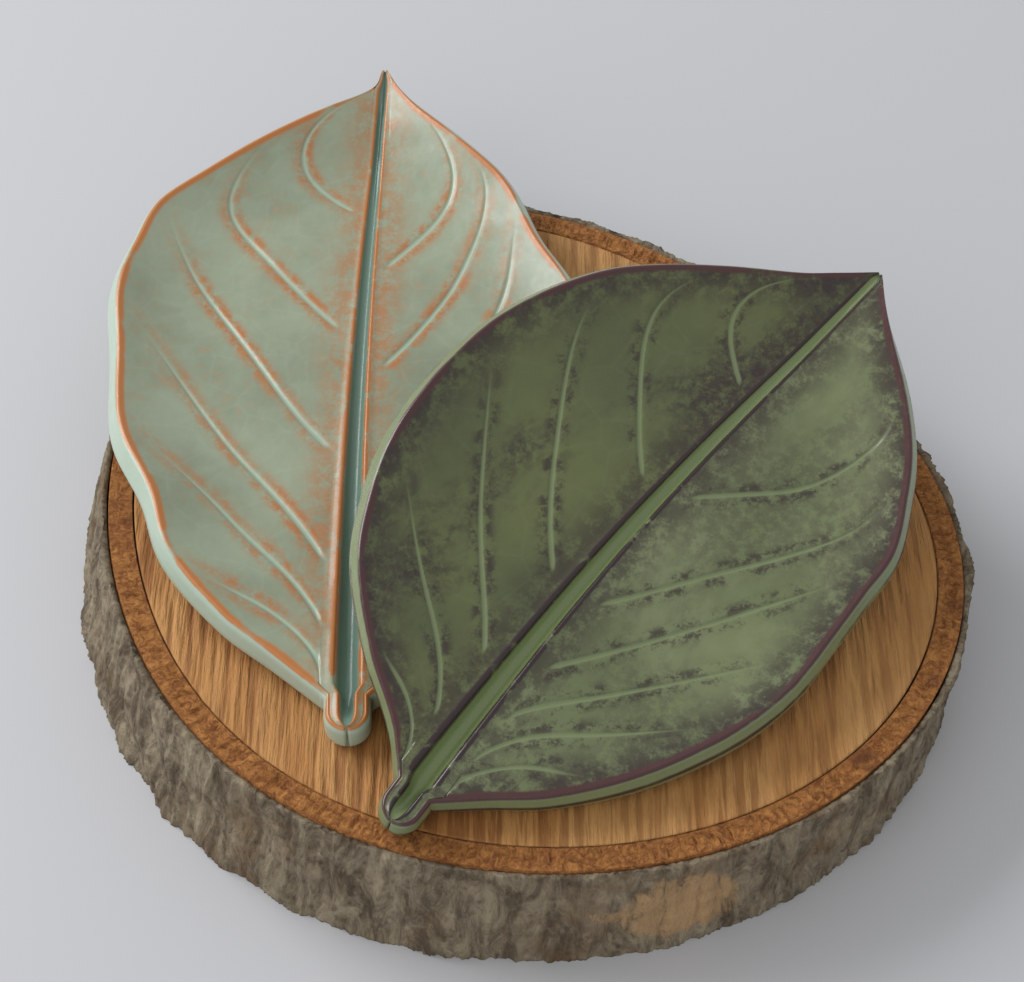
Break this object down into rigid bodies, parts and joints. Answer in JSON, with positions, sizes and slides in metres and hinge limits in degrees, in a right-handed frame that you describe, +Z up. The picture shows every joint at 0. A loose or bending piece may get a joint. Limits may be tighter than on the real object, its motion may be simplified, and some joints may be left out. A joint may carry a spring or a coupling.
{
  "type": "ring dish",
  "caption": "Pair of shallow glazed ceramic leaf dishes with curled rims, one leaning on the other, on a slice of a log.",
  "frame": {"origin": "in the plane of the log slice's underside, below the middle of its sawn top face", "axes": "+Z up, +Y from the stem end of the rear dish to its tip, +X to the right"},
  "size_m": [0.1502, 0.1747, 0.0484],
  "materials": {
    "wood": "sawn",
    "inner_bark": "fibrous",
    "outer_bark": "rough bark",
    "celadon_glaze": "glossy glaze",
    "olive_glaze": "glossy glaze"
  },
  "bodies": {
    "slice": {"wood_core": "wood", "inner_bark": "inner_bark", "outer_bark": "outer_bark"},
    "rear_dish": {"rear_leaf_dish": "celadon_glaze"},
    "front_dish": {"front_leaf_dish": "olive_glaze"}
  },
  "joints": [
    {"name": "rear_dish_lift", "type": "slide", "parent": "slice", "child": "rear_dish", "axis": [0, 0, 1], "range_m": [0, 0.08]},
    {"name": "front_dish_lift", "type": "slide", "parent": "rear_dish", "child": "front_dish", "axis": [0, 0, 1], "range_m": [0, 0.06]}
  ]
}
